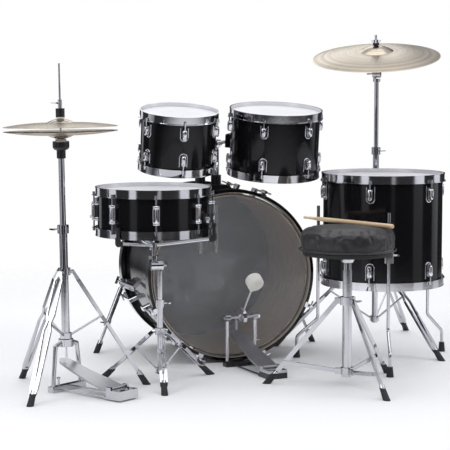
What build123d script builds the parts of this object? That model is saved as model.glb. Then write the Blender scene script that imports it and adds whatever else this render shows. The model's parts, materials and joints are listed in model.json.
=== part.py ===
from build123d import *
import math
import os

# Five-piece acoustic drum kit with hi-hat, crash cymbal, throne and one stick.
# Millimetres. The kit is laid out from a point on the floor below the middle of
# the bass drum's batter hoop: +Y runs along the bass drum away from the drummer,
# +X is the drummer's right, +Z is up. At the end everything moves so that the
# origin is at the bottom centre of the whole kit's box.

INCH = 25.4
BASE = (Align.CENTER, Align.CENTER, Align.MIN)
GAP = 0.35            # sideways clearance between pieces that move on each other
PIN_FIT = 0.06        # radial clearance of a hinge pin
SLIDE_FIT = 0.3       # radial clearance of a telescoping tube

# drums: shell radius, shell depth, rim centre, lean and number of lugs
BASS_R, BASS_DEPTH = 22 * INCH / 2, 16 * INCH
BASS_AXIS_Z, BASS_HOOP_R, BASS_HOOP_IN, BASS_HOOP_W = 300.0, 296.0, 284.0, 38.0
BASS_LUGS = 8
SMALL_TOM_R, SMALL_TOM_DEPTH = 10 * INCH / 2, 7 * INCH
LARGE_TOM_R, LARGE_TOM_DEPTH = 12 * INCH / 2, 8 * INCH
FLOOR_TOM_R, FLOOR_TOM_DEPTH = 16 * INCH / 2, 14 * INCH
SNARE_R, SNARE_DEPTH = 14 * INCH / 2, 5 * INCH
SMALL_TOM_AT, SMALL_TOM_LEAN = (-182.0, 10.0, 867.0), 9.6
LARGE_TOM_AT, LARGE_TOM_LEAN = (165.0, 23.0, 868.0), 7.6
FLOOR_TOM_AT = (503.0, -120.0, 652.0)
SNARE_AT = (-345.0, -268.0, 633.0)
SHELL_WALL, FILM = 6.0, 0.6
RIM_DROP = 13.0       # from the top of a hoop down to the head
HOOP_H = 27.0         # height of a pressed steel hoop
HOOP_CLEAR = 4.2      # from the shell out to the hoop's wall
ROD_OUT = 11.5        # from the shell out to the tension rods
TOM_LUG, FLOOR_TOM_LUG, SNARE_LUG = (13, 34, 15), (14, 42, 15), (12, 58, 15)

# stands: foot circle and heights
HIHAT_AT, HIHAT_LEAN, HIHAT_LEAN_TO = (-635.0, -294.0, 0.0), 1.0, 140.0
HIHAT_TURN = 33.0     # the hi-hat pedal's heel, turned from -Y towards +X
HIHAT_LEGS = ((115.0, 240.0), (1.0, 252.0), (-126.0, 258.0))
SNARE_STAND_AT = (-325.0, -268.0, 0.0)
SNARE_LEGS = ((144.0, 190.0), (23.0, 196.0), (-101.0, 192.0))
CRASH_AT = (598.0, 175.0, 0.0)
CRASH_LEGS = ((-74.0, 362.0), (48.0, 352.0), (167.0, 356.0))
CRASH_LEAN, CRASH_LEAN_TO = 13.3, -120.0
THRONE_AT = (231.0, -489.0, 0.0)
THRONE_LEGS = (156.5, 37.0, -83.0)
THRONE_FOOT_R = 246.0
PEDAL_AT, PEDAL_TURN = (12.0, -64.0, 0.0), 9.0

nodes = {}            # node name -> list of shapes
marks = {}            # pivot or slide name -> (point, direction)


# ---------------------------------------------------------------- helpers
def put(name, *shapes):
    nodes.setdefault(name, []).extend(shapes)


def mark(name, point, direction):
    marks[name] = (Vector(point), Vector(direction).normalized())


def rod(start, end, radius, bore=0.0):
    start, end = Vector(start), Vector(end)
    reach = (end - start).length
    bar = Cylinder(radius, reach, align=BASE)
    if bore:
        bar -= Cylinder(bore, reach, align=BASE)
    return Plane(origin=start, z_dir=end - start) * bar


def tube(radius, low, high, bore=0.0, x=0.0, y=0.0):
    return rod((x, y, low), (x, y, high), radius, bore)


def block(low, high):
    size = [h - l for l, h in zip(low, high)]
    middle = [(h + l) / 2 for l, h in zip(low, high)]
    return Pos(*middle) * Box(*size)


def spun(outline):
    return revolve(Plane.XZ * make_face(Polyline(*outline, close=True)), Axis.Z)


def leaning(origin, heading, lean):
    """Frame whose Z leans by `lean` degrees towards `heading`; X stays level."""
    h, t = math.radians(heading), math.radians(lean)
    up = (math.sin(t) * math.cos(h), math.sin(t) * math.sin(h), math.cos(t))
    return Plane(origin=origin, x_dir=(-math.sin(h), math.cos(h), 0), z_dir=up)


def polar(radius, degrees, z=0.0):
    a = math.radians(degrees)
    return Vector(radius * math.cos(a), radius * math.sin(a), z)


def around(count, first=0.0):
    return [first + 360 * i / count for i in range(count)]


def above_floor(shape):
    return shape - block((-3000, -3000, -400), (3000, 3000, 0))


def wing_screw(start, direction, reach, span=22.0):
    """Thumb screw: a shank with a flat wing across its end."""
    start, way = Vector(start), Vector(direction).normalized()
    end = start + way * reach
    frame = Plane(origin=end, z_dir=way)
    return rod(start, end, 3.0) + frame * Box(span, 4.0, 9.0)


# ---------------------------------------------------------------- drums
def hoop(radius):
    """Pressed steel hoop: rolled lip, wall and flange, lip up, lip top at 0."""
    wall = radius + HOOP_CLEAR
    return spun([(wall, 0), (wall + 3.3, 0), (wall + 3.3, -2.2), (wall + 2, -2.2),
                 (wall + 2, 2 - HOOP_H), (wall + 6, 2 - HOOP_H), (wall + 6, -HOOP_H),
                 (wall, -HOOP_H)])


def hoop_with_ears(radius, angles):
    ring = hoop(radius)
    for a in angles:
        ear = tube(6.5, -HOOP_H, 3 - HOOP_H)
        ring += Rot(0, 0, a) * Pos(radius + ROD_OUT, 0, 0) * ear
    for a in angles:
        hole = tube(3.2, -HOOP_H - 1, 4 - HOOP_H)
        ring -= Rot(0, 0, a) * Pos(radius + ROD_OUT, 0, 0) * hole
    return ring


def lug(radius, width, height, reach):
    """Lug casting standing on a shell of the given radius, pointing along +X."""
    body = Pos(radius + reach / 2 - 3, 0, 0) * Box(reach + 6, width, height)
    body = fillet(body.edges().filter_by(Axis.X), width * 0.3)
    return body - Cylinder(radius + 0.02, height + 2)


def tension_rod(radius, lug_top):
    head_low, head_high = 3 - HOOP_H, 12 - HOOP_H
    at = radius + ROD_OUT
    return tube(2.6, lug_top, head_low, x=at) + tube(4.4, head_low, head_high, x=at)


def drum(name, frame, radius, depth, angles, lug_size, lug_tops, hoops, lugs):
    """Shell, heads and chrome of a drum whose upper lip is at the frame's origin."""
    low = -RIM_DROP - FILM - depth
    total = depth + 2 * (RIM_DROP + FILM)
    middle = Plane.XY.offset(-total / 2)
    shell = tube(radius, low, -RIM_DROP - FILM, radius - SHELL_WALL)
    top = -RIM_DROP - FILM
    head = spun([(0, -RIM_DROP), (radius + 3.8, -RIM_DROP), (radius + 3.8, top - 8),
                 (radius + 0.3, top - 8), (radius + 0.3, top), (0, top)])
    upper = hoop_with_ears(radius, angles)
    width, height, reach = lug_size
    casting = lug(radius, width, height, reach)
    long_lug = len(lug_tops) == 1
    chrome = []
    for a in angles:
        turned = Rot(0, 0, a)
        screw = turned * tension_rod(radius, lug_tops[0])
        chrome += [screw, mirror(screw, about=middle)]
        upper_lug = turned * Pos(0, 0, lug_tops[0] - height / 2) * casting
        chrome.append(upper_lug)
        if not long_lug:
            chrome.append(mirror(upper_lug, about=middle))
    put(name + "_shell", frame * shell)
    put(name + "_heads", frame * head, frame * mirror(head, about=middle))
    put(hoops, frame * upper, frame * mirror(upper, about=middle))
    put(lugs, *[frame * piece for piece in chrome])


# ---------------------------------------------------------------- stand legs
def leg_frame(start, end, half, waist_at, thick=10.0, strip=3.2):
    """Double strip leg: two strips that meet at both ends and at the brace."""
    start, end = Vector(start), Vector(end)
    length = (end - start).length
    along = (end - start).normalized()
    side = Vector(-along.Y, along.X, 0).normalized()
    frame = Plane(origin=start, x_dir=along, z_dir=along.cross(side))
    stations = [(0.0, 6.0), (0.07, half), (waist_at - 0.06, half), (waist_at, 7.0),
                (waist_at + 0.06, half), (0.9, half), (1.0, 5.0)]
    edge = [(length * t, w) for t, w in stations]
    outer = make_face(Polyline(*edge, *[(x, -w) for x, w in reversed(edge)], close=True))
    slots = []
    for low, high in ((1, 3), (3, 5)):
        run = [(x, w - strip) for x, w in edge[low:high]]
        inset = [(edge[low - 1][0] + 14, 1.0)] + run + [(edge[high][0] - 14, 1.0)]
        slots.append(make_face(Polyline(*inset, *[(x, -w) for x, w in reversed(inset)],
                                        close=True)))
    face = outer - slots[0] - slots[1]
    return extrude(frame * face, thick / 2, both=True)


def boot(start, end, radius=11.5, length=36.0):
    """Rubber foot on the end of a leg, cut level with the floor."""
    start, end = Vector(start), Vector(end)
    along = (end - start).normalized()
    foot = Plane(origin=end - along * length, z_dir=along) * Cone(
        radius - 3.0, radius, length + 26, align=BASE)
    return above_floor(foot)


def tripod(column, legs, yoke_z, collar_z, tube_r, waist_at, half=12.0, foot_z=11.0):
    """Yoke, collar, three double legs, three braces and feet on a round column."""
    origin = column.origin
    yoke = tube(tube_r + 7.0, yoke_z - 11, yoke_z + 11)
    collar = tube(tube_r + 6.0, collar_z - 9, collar_z + 9)
    solid = column * yoke + column * collar
    for angle, reach in legs:
        spread = polar(1.0, angle)
        pivot = column.from_local_coords(polar(tube_r + 14.0, angle - frame_turn(column), yoke_z))
        foot = Vector(origin.X, origin.Y, 0) + spread * reach + Vector(0, 0, foot_z)
        join = pivot + (foot - pivot) * waist_at
        root = column.from_local_coords(polar(tube_r, angle - frame_turn(column), collar_z))
        ear = rod(column.from_local_coords((0, 0, yoke_z)), pivot + spread * 3, 7.0)
        solid += ear
        solid += leg_frame(pivot, foot, half, waist_at)
        solid += rod(root, join, 3.4)
        solid += boot(pivot, foot)
    return solid - column * tube(tube_r - 1.0, collar_z - 30, yoke_z + 30)


def frame_turn(frame):
    return math.degrees(math.atan2(frame.x_dir.Y, frame.x_dir.X))


# ---------------------------------------------------------------- bass drum
bass = Plane(origin=(0, 0, BASS_AXIS_Z), x_dir=(1, 0, 0), z_dir=(0, 1, 0))
SHELL_FROM, BASS_WALL, BASS_FILM = 12.0, 8.0, 1.0
BASS_LENGTH = BASS_DEPTH + 2 * SHELL_FROM
bass_middle = Plane.XY.offset(BASS_LENGTH / 2)
TOM_POSTS = {"left": (-54.0, 205.0), "right": (4.0, 205.0)}
TOM_POST_R, TOM_POST_LOW = 11.0, 356.0


def bass_drum():
    shell = bass * tube(BASS_R, SHELL_FROM, BASS_LENGTH - SHELL_FROM, BASS_R - BASS_WALL)
    for x, y in TOM_POSTS.values():
        shell -= tube(TOM_POST_R + 1.5, BASS_AXIS_Z, 620, x=x, y=y)
    put("bass_shell", shell)
    hoop_ring = tube(BASS_HOOP_R, 0, BASS_HOOP_W, BASS_HOOP_IN)
    put("bass_hoops", bass * hoop_ring, bass * mirror(hoop_ring, about=bass_middle))
    film_at, edge = SHELL_FROM - BASS_FILM, BASS_HOOP_IN - 0.6
    head = spun([(0, film_at), (edge, film_at), (edge, SHELL_FROM + 10),
                 (BASS_R + 0.4, SHELL_FROM + 10), (BASS_R + 0.4, SHELL_FROM), (0, SHELL_FROM)])
    put("bass_batter_head", bass * head)
    put("bass_front_head", bass * mirror(head, about=bass_middle))
    bass_chrome()


def bass_chrome():
    """Claws over the hoops, T-headed rods and one lug for each rod."""
    at, lug_near, lug_len = BASS_HOOP_R + 11, 95.0, 36.0
    claw = block((BASS_HOOP_IN + 3, -9, -3), (BASS_HOOP_R + 3.5, 9, 0))
    claw += block((BASS_HOOP_R + 0.2, -9, -3), (BASS_HOOP_R + 3.5, 9, 24))
    claw += block((BASS_HOOP_R + 0.2, -7, 4), (at + 6, 7, 16))
    claw -= tube(3.4, -5, 30, x=at)
    screw = tube(2.9, -8, lug_near, x=at) + tube(5.0, -14.5, -3.2, x=at)
    screw += rod((at, -20, -10.6), (at, 20, -10.6), 3.2)
    casting = Pos((BASS_R + at + 5) / 2 - 3, 0, lug_near + lug_len / 2) * Box(
        at + 5 - BASS_R + 6, 15, lug_len)
    casting = fillet(casting.edges().filter_by(Axis.X), 5) - Cylinder(BASS_R + 0.02, 600)
    for a in around(BASS_LUGS, 22.5):
        for piece in (claw, screw, casting):
            turned = Rot(0, 0, a) * piece
            put("bass_lugs_and_claws", bass * turned, bass * mirror(turned, about=bass_middle))


SPUR_PIVOT = Vector(304.0, 332.0, 246.0)
SPUR_FOOT = Vector(408.0, 312.0, 0.0)


def spur(side, sign):
    """Folding spur: pin through a bracket, leg tube, thin tip and rubber foot."""
    pivot = Vector(sign * SPUR_PIVOT.X, SPUR_PIVOT.Y, SPUR_PIVOT.Z)
    foot = Vector(sign * SPUR_FOOT.X, SPUR_FOOT.Y, SPUR_FOOT.Z)
    down = (foot - pivot).normalized()
    axis = down.cross(Vector(0, -1, 0)).normalized()
    mark("spur_" + side, pivot, axis)
    tip = foot - down * 38
    ferrule = pivot + down * 168
    leg = rod(pivot + down * 22, ferrule, 9.0) + rod(ferrule, tip, 5.0)
    leg += rod(ferrule - down * 26, ferrule, 11.0) + rod(pivot, pivot + down * 24, 5.8)
    leg += rod(pivot - axis * 6, pivot + axis * 6, 13.0)
    leg -= rod(pivot - axis * 9, pivot + axis * 9, 4.0 + PIN_FIT)
    leg += wing_screw(ferrule - down * 13, Vector(sign, -0.4, 0.2), 20)
    leg += above_floor(rod(tip - down * 8, foot + down * 8, 10.0))
    put("bass_spur_" + side, leg)
    # bracket: a boss on the shell, the pin, and a wing nut outside the spur
    out = axis if axis.X * sign > 0 else axis * -1
    bracket = rod(pivot - out * 60, pivot - out * (6 + GAP), 17.0)
    bracket += rod(pivot - out * 10, pivot + out * 16, 4.0)
    bracket += rod(pivot + out * (6 + GAP), pivot + out * 11, 11.0)
    bracket += wing_screw(pivot + out * 9, out, 14, 28)
    put("bass_lugs_and_claws", bracket - bass * Cylinder(BASS_R + 0.02, 2000))


# ---------------------------------------------------------------- tom mount
TOM_MOUNT_Z = 598.0
ELBOW_Z = {"left": 742.0, "right": 742.0}


def tom_mount():
    low_x, high_x = TOM_POSTS["left"][0] - 32, TOM_POSTS["right"][0] + 32
    y = TOM_POSTS["left"][1]
    saddle = block((low_x, y - 34, 560), (high_x, y + 34, TOM_MOUNT_Z))
    saddle -= bass * Cylinder(BASS_R + 0.02, 2000)
    inner = block((low_x + 6, y - 26, 528), (high_x - 6, y + 26, 556))
    for x, post_y in TOM_POSTS.values():
        saddle += tube(18, TOM_MOUNT_Z - 2, 632, x=x, y=post_y)
        saddle += wing_screw((x, post_y - 16, 616), (0, -1, 0), 16, 26)
    for x, post_y in TOM_POSTS.values():
        hole = tube(TOM_POST_R + SLIDE_FIT, 500, 700, x=x, y=post_y)
        saddle -= hole
        inner -= hole
    put("tom_mount", saddle, inner)


def tom_with_arm(side, at, lean, radius, depth, first_lug):
    x, y = TOM_POSTS[side]
    elbow = Vector(x, y, ELBOW_Z[side])
    frame = leaning(at, -90, lean)
    total = depth + 2 * (RIM_DROP + FILM)
    middle = frame.from_local_coords((0, 0, -total / 2))
    way = Vector(middle.X - x, middle.Y - y, 0).normalized()
    axis = Vector(0, 0, 1).cross(way).normalized()
    sway = 1 if side == "left" else -1
    mark("tom_swivel_" + side, elbow, (0, 0, 1))
    mark("tom_tilt_" + side, elbow, axis)
    arm_disc = rod(elbow - axis * 17 * sway, elbow - axis * GAP / 2 * sway, 16)
    arm = tube(TOM_POST_R, TOM_POST_LOW, ELBOW_Z[side] - 26, 8.5, x=x, y=y)
    arm += tube(TOM_POST_R, ELBOW_Z[side] - 30, ELBOW_Z[side] - 20, x=x, y=y)
    root = Vector(x, y, ELBOW_Z[side] - 22)
    arm += rod(root, elbow - axis * 9 * sway, 8.5) + arm_disc
    arm += rod(elbow - axis * 20 * sway, elbow - axis * 16 * sway, 9)
    arm -= rod(elbow - axis * GAP / 2 * sway, elbow + axis * 30 * sway, 16.9)
    put("tom_arm_" + side, arm)
    # tom side of the ratchet, its rod, and the bracket on the shell
    chrome = "tom_" + side + "_hoops_and_lugs"
    drum("tom_" + side, frame, radius, depth, around(6, first_lug), TOM_LUG, (-42, -1),
         chrome, chrome)
    disc_mid = elbow + axis * 9 * sway
    disc = rod(elbow + axis * GAP / 2 * sway, elbow + axis * 17 * sway, 15.2)
    distance = Vector(middle.X - disc_mid.X, middle.Y - disc_mid.Y, 0)
    outward = (distance * -1).normalized()
    level = Vector(middle.X, middle.Y, middle.Z)
    near = level + outward * (radius + 32)
    plate_frame = Plane(origin=level + outward * (radius + 12), x_dir=outward, z_dir=frame.z_dir)
    plate = plate_frame * Box(36, 34, 46)
    plate -= frame * Pos(0, 0, -total / 2) * Cylinder(radius + 0.05, total)
    holder = disc + rod(disc_mid, near - outward * 10, 6.5) + plate
    holder = holder - frame * Pos(0, 0, -total / 2) * Cylinder(radius + 0.05, total)
    put(chrome, holder)


# ---------------------------------------------------------------- floor tom
FLOOR_LEG_R, FLOOR_LEG_OUT, FLOOR_LEG_TOP = 5.5, 19.0, 533.0
FLOOR_LEGS = (-107.0, 21.0, 151.0)
FLOOR_LEG_FOOT_R, FLOOR_LEG_KNEE, FLOOR_LEG_ANKLE = 296.0, 140.0, 74.0


def floor_tom():
    frame = leaning(FLOOR_TOM_AT, -90, 0)
    drum("floor_tom", frame, FLOOR_TOM_R, FLOOR_TOM_DEPTH, around(6, -124),
         FLOOR_TOM_LUG, (-42, -1), "floor_tom_hoops", "floor_tom_lugs_and_brackets")
    x, y, z = FLOOR_TOM_AT
    at = FLOOR_TOM_R + FLOOR_LEG_OUT
    for number, angle in enumerate(FLOOR_LEGS, 1):
        centre = Vector(x, y, 0)
        out = polar(1, angle)
        low, high = FLOOR_LEG_ANKLE, FLOOR_LEG_KNEE
        points = [centre + out * at + Vector(0, 0, FLOOR_LEG_TOP),
                  centre + out * at + Vector(0, 0, high),
                  centre + out * FLOOR_LEG_FOOT_R + Vector(0, 0, low),
                  centre + out * FLOOR_LEG_FOOT_R + Vector(0, 0, 20)]
        path = FilletPolyline(*points, radius=22)
        start = Plane(origin=points[0], z_dir=(0, 0, -1))
        leg = sweep(start * Circle(FLOOR_LEG_R), path)
        foot = Pos(points[3].X, points[3].Y, 0) * Cone(12.5, 9.0, 34, align=BASE)
        put("floor_tom_leg_%d" % number, leg + foot)
        mark("floor_leg_%d" % number, points[0], (0, 0, 1))
        bracket = Pos(FLOOR_TOM_R + 12, 0, 389) * Box(38, 30, 46)
        bracket = fillet(bracket.edges().filter_by(Axis.Z), 5)
        bracket += wing_screw((at, 12, 392), (0.2, 1, 0), 20, 24)
        bracket -= Cylinder(FLOOR_TOM_R + 0.05, 2000)
        bracket -= tube(FLOOR_LEG_R + SLIDE_FIT, 300, 500, x=at)
        put("floor_tom_lugs_and_brackets", Pos(x, y, 0) * Rot(0, 0, angle) * bracket)


# ---------------------------------------------------------------- snare drum and stand
SNARE_STRAINER = 145.5
STRAINER_PIVOT_Z = -62.0


def snare_drum():
    frame = leaning(SNARE_AT, -90, 0)
    drum("snare", frame, SNARE_R, SNARE_DEPTH, around(8, -102), SNARE_LUG, (-48,),
         "snare_hoops", "snare_lugs_and_strainer")
    turned = frame * Rot(0, 0, SNARE_STRAINER)
    total = SNARE_DEPTH + 2 * (RIM_DROP + FILM)
    shell_cut = Cylinder(SNARE_R + 0.05, 600)
    body = Pos(SNARE_R + 9, 0, -82) * Box(26, 30, 62) - shell_cut
    knob = tube(7, -51, -41, x=SNARE_R + 16)
    butt = Rot(0, 0, 180) * (Pos(SNARE_R + 6, 0, -96) * Box(22, 30, 28) - shell_cut)
    # wires lie just under the lower head, with a strap up to each bracket
    under = -total + RIM_DROP - 0.2
    wires = block((-150, -21, under - 1.6), (150, 21, under))
    ends = block((-162, -24, under - 2.4), (-150, 24, under)) + block(
        (150, -24, under - 2.4), (162, 24, under))
    put("snare_lugs_and_strainer", turned * body, turned * knob, turned * butt,
        turned * (wires + ends))
    out = SNARE_R + 30
    pivot = turned * Pos(out, 0, STRAINER_PIVOT_Z)
    lever = block((out - 3.6, -6, -103), (out + 3.6, 6, STRAINER_PIVOT_Z + 3.4))
    lever += block((out - 3.6, -8, -106), (out + 8, 8, -98))
    lever += rod((out, -8.5, STRAINER_PIVOT_Z), (out, 8.5, STRAINER_PIVOT_Z), 2.8)
    put("snare_strainer_lever", turned * lever)
    side = polar(1, SNARE_STRAINER + 90)
    mark("strainer_lever", pivot.position, side)
    mark("snare_lift", SNARE_AT, (0, 0, 1))


SNARE_TILTER_Z, SNARE_CLAMP_Z = 378.0, 268.0
SNARE_TUBE_R, SNARE_UPPER_R = 9.5, 7.0
BASKET_REACH, GRIP_R = 190.0, 9.0
BASKET_ARMS = (-139.5, -19.5, 100.5)


def snare_stand():
    column = leaning(SNARE_STAND_AT, 0, 0)
    base = tripod(column, SNARE_LEGS, 166, 40, SNARE_TUBE_R, 0.36)
    base += column * tube(SNARE_TUBE_R, 28, SNARE_CLAMP_Z, SNARE_TUBE_R - 2)
    clamp = tube(13, SNARE_CLAMP_Z - 24, SNARE_CLAMP_Z)
    clamp += wing_screw((0, -10, SNARE_CLAMP_Z - 12), (0.3, -1, 0), 18, 24)
    clamp -= tube(SNARE_UPPER_R + SLIDE_FIT, SNARE_CLAMP_Z - 60, SNARE_CLAMP_Z + 10)
    base += column * clamp
    put("snare_stand_base", base - column * tube(SNARE_UPPER_R + SLIDE_FIT, 120, 400))
    x, y, _ = SNARE_STAND_AT
    mark("snare_height", (x, y, SNARE_CLAMP_Z), (0, 0, 1))
    mark("snare_tilt", (x - 10, y, SNARE_TILTER_Z), (1, 0, 0))
    upper = tube(SNARE_UPPER_R, 150, SNARE_TILTER_Z - 16, x=x, y=y)
    upper += rod((x - 9, y, SNARE_TILTER_Z), (x + 9, y, SNARE_TILTER_Z), 15)
    upper += rod((x - 9, y, SNARE_TILTER_Z), (x - 22, y, SNARE_TILTER_Z), 4)
    upper += wing_screw((x + 8, y, SNARE_TILTER_Z), (1, 0, 0), 14, 24)
    put("snare_stand_upper_tube", upper)
    stem_x = SNARE_AT[0]
    hub_z = 444.0
    disc_from, disc_to = x - 9 - GAP, x - 31
    basket = rod((disc_from, y, SNARE_TILTER_Z), (disc_to, y, SNARE_TILTER_Z), 14.2)
    basket += tube(6.5, SNARE_TILTER_Z, hub_z, x=stem_x, y=y)
    basket += tube(17, 400, 412, x=stem_x, y=y) + tube(13, hub_z - 10, hub_z + 8, x=stem_x, y=y)
    basket -= rod((x - 9, y, SNARE_TILTER_Z), (x - 24, y, SNARE_TILTER_Z), 4 + PIN_FIT)
    hoop_low = SNARE_AT[2] - SNARE_DEPTH - 2 * (RIM_DROP + FILM)
    centre = Vector(stem_x, y, 0)
    reach = SNARE_R + 16
    for angle in BASKET_ARMS:
        out = polar(1, angle)
        elbow = centre + out * (reach - 2) + Vector(0, 0, hoop_low - 12)
        arm = rod(centre + out * 8 + Vector(0, 0, hub_z), elbow, 5.0)
        tip = centre + out * reach + Vector(0, 0, hoop_low + 32)
        arm += rod(elbow, tip, 5.0) + Pos(*elbow) * Sphere(5.0)
        pad = rod(elbow - out * 14 - Vector(0, 0, 2), elbow + Vector(0, 0, -2), GRIP_R)
        grip = rod(elbow, elbow + Vector(0, 0, 18), GRIP_R) + Pos(*elbow) * Sphere(GRIP_R)
        hook = rod(tip - out * 10 - Vector(0, 0, 0), tip + out * 6, 7.0)
        basket += arm + pad + grip + hook
    ring = Pos(stem_x, y, 0) * tube(SNARE_R + HOOP_CLEAR + 6 + 0.5, hoop_low - 0.3, hoop_low + 200)
    put("snare_basket", basket - ring)


# ---------------------------------------------------------------- cymbals
CYMBAL_THICK = 1.2


def cymbal(radius, bow, bell_r, bell_h, hole, thick=CYMBAL_THICK):
    """Spun cymbal: edge at 0, gentle bow, raised bell with a hole."""
    steps = 5
    top = [(radius * (1 - i / steps) + bell_r * i / steps,
            bow * (1 - (1 - i / steps) ** 2)) for i in range(steps + 1)]
    under = [(r, z) for r, z in reversed(top)]
    dome = (bell_r ** 2 + bell_h ** 2) / (2 * bell_h)

    def bell(r):
        return bow + bell_h - dome + math.sqrt(dome ** 2 - r ** 2)

    bell_top, bell_mid = bell(hole), (bell_r * 0.6, bell(bell_r * 0.6))
    curve_top = Spline(*[(r, z + thick) for r, z in top])
    curve_low = Spline(*under)
    bell_out = ThreePointArc((bell_r, bow + thick), (bell_mid[0], bell_mid[1] + thick),
                             (hole, bell_top + thick))
    bell_in = ThreePointArc((hole, bell_top), bell_mid, (bell_r, bow))
    edge = Line((radius, 0), (radius, thick))
    throat = Line((hole, bell_top + thick), (hole, bell_top))
    face = make_face(curve_top + bell_out + throat + bell_in + curve_low + edge)
    return revolve(Plane.XZ * face, Axis.Z)


CRASH_R, CRASH_BOW, CRASH_BELL_R, CRASH_BELL_H = 18 * INCH / 2, 22.0, 62.0, 20.0
HAT_R, HAT_BOW, HAT_BELL_R, HAT_BELL_H = 14 * INCH / 2, 12.0, 42.0, 12.0
CYMBAL_HOLE = 6.8
CRASH_TILTER_Z, CRASH_CLAMP_Z = 985.0, 722.0
CRASH_TUBE_R, CRASH_UPPER_R, CRASH_RISE = 11.0, 8.0, 60.0


def crash_stand():
    column = leaning(CRASH_AT, 0, 0)
    base = tripod(column, CRASH_LEGS, 340, 98, CRASH_TUBE_R, 0.42, half=13.0)
    base += column * tube(CRASH_TUBE_R, 84, CRASH_CLAMP_Z, CRASH_TUBE_R - 2)
    clamp = tube(16, CRASH_CLAMP_Z - 26, CRASH_CLAMP_Z)
    clamp += wing_screw((-12, -4, CRASH_CLAMP_Z - 12), (-1, -0.3, 0), 22, 26)
    base += column * clamp
    put("crash_stand_base", base - column * tube(CRASH_UPPER_R + SLIDE_FIT, 400, 800))
    x, y, _ = CRASH_AT
    mark("crash_height", (x, y, CRASH_CLAMP_Z), (0, 0, 1))
    tilted = leaning((x, y, CRASH_TILTER_Z), CRASH_LEAN_TO, CRASH_LEAN)
    axis = tilted.x_dir
    pivot = Vector(x, y, CRASH_TILTER_Z)
    mark("crash_tilt", pivot, axis)
    upper = tube(CRASH_UPPER_R, 460, CRASH_TILTER_Z - 20, x=x, y=y)
    upper += tube(13, CRASH_TILTER_Z - 28, CRASH_TILTER_Z - 16.5, x=x, y=y)
    neck = pivot - axis * 7.2
    upper += tube(5.2, CRASH_TILTER_Z - 20, CRASH_TILTER_Z - 6, x=neck.X, y=neck.Y)
    upper += rod(pivot - axis * 15, pivot - axis * GAP / 2, 14)
    upper += wing_screw(pivot - axis * 14, axis * -1, 16, 24)
    put("crash_upper_tube", upper)
    bell_under = CRASH_RISE + CRASH_BOW + CRASH_BELL_H
    tilter = rod(pivot + axis * GAP / 2, pivot + axis * 15, 13.2)
    tilter += tilted * tube(6.5, 4, 24, x=7.5)
    tilter += tilted * tube(8, 18, 28)
    tilter += tilted * tube(4, 20, bell_under + 42)
    tilter += tilted * tube(13, bell_under - 22, bell_under - 12)
    felts = tilted * tube(11, bell_under - 12, bell_under - 1.6, 4.02)
    felts_top = tilted * tube(11, bell_under + 3.0, bell_under + 13, 4.02)
    nut = tilted * (tube(8, bell_under + 13, bell_under + 25, 4.02) + Pos(
        0, 0, bell_under + 19) * Box(34, 5, 10) - tube(4.02, bell_under, bell_under + 60))
    put("crash_tilter", tilter, felts, felts_top, nut)
    put("crash_cymbal", tilted * Pos(0, 0, CRASH_RISE) * cymbal(
        CRASH_R, CRASH_BOW, CRASH_BELL_R, CRASH_BELL_H, CYMBAL_HOLE))
    mark("crash_sway", tilted.from_local_coords((0, 0, bell_under)), axis)


# ---------------------------------------------------------------- hi-hat
hihat = leaning(HIHAT_AT, HIHAT_LEAN_TO, HIHAT_LEAN)
HIHAT_TUBE_R, HIHAT_UPPER_R, HIHAT_ROD_R = 12.7, 9.5, 3.2
HIHAT_COLLAR_Z, HIHAT_YOKE_Z, HIHAT_CLAMP_Z = 172.0, 374.0, 520.0
HIHAT_SEAT_Z, HAT_LOW_Z, HAT_HIGH_Z = 752.0, 813.0, 826.0
HIHAT_ROD_TOP = 1022.0
HIHAT_TIP_R, HIHAT_TIP = 2.8, 60.0
HIHAT_TOE = (22.0, 99.0)      # ahead of the column, height
HIHAT_PIVOT = (-216.0, 30.0)  # heel hinge: behind the column, height


def footboard(toe, pivot, toe_half, heel_half, sag, thick=7.0):
    """Long pedal plate in the YZ plane, toe at +Y, curved, with a hinge eye."""
    (toe_y, toe_z), (heel_y, heel_z) = toe, pivot
    back = heel_y + 8
    mid_y, mid_z = (toe_y + back) / 2, (toe_z + heel_z) / 2 - sag
    upper = ThreePointArc((toe_y, toe_z), (mid_y, mid_z), (back, heel_z))
    lower = ThreePointArc((back, heel_z - thick), (mid_y, mid_z - thick), (toe_y, toe_z - thick))
    side = make_face(upper + Line((back, heel_z), (back, heel_z - thick)) + lower + Line(
        (toe_y, toe_z - thick), (toe_y, toe_z)))
    slab = extrude(Plane.YZ * side, 60, both=True)
    shoulder, end = toe_y - toe_half, back - 4
    outline = make_face(
        Line((-heel_half, end), (-heel_half, back + 70)) + Spline(
            (-heel_half, back + 70), (-heel_half * 0.86, mid_y), (-toe_half, shoulder))
        + ThreePointArc((-toe_half, shoulder), (0, toe_y - 0.8), (toe_half, shoulder))
        + Spline((toe_half, shoulder), (heel_half * 0.86, mid_y), (heel_half, back + 70))
        + Line((heel_half, back + 70), (heel_half, end)) + Line(
            (heel_half, end), (-heel_half, end)))
    board = slab & extrude(outline, 400, both=True)
    eye = rod((-heel_half + 8, heel_y, heel_z), (heel_half - 8, heel_y, heel_z), 7)
    board += eye + block((-heel_half + 8, heel_y, heel_z - 7), (heel_half - 8, back + 2, heel_z))
    return board - rod((-80, heel_y, heel_z), (80, heel_y, heel_z), 3 + PIN_FIT)


def heel_plate(pivot, half, length):
    """Floor plate that carries the footboard's hinge pin between two cheeks."""
    y, z = pivot
    plate = block((-half, y - length, 0), (half, y + 16, 7))
    cheeks = block((-half, y - 14, 0), (-half + 8 - GAP, y + 7, z + 7))
    cheeks += block((half - 8 + GAP, y - 14, 0), (half, y + 7, z + 7))
    pad = block((-half, y - length, 7), (half, y - 14, z - 2))
    return plate + cheeks + pad + rod((-half + 2, y, z), (half - 2, y, z), 3)


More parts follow.
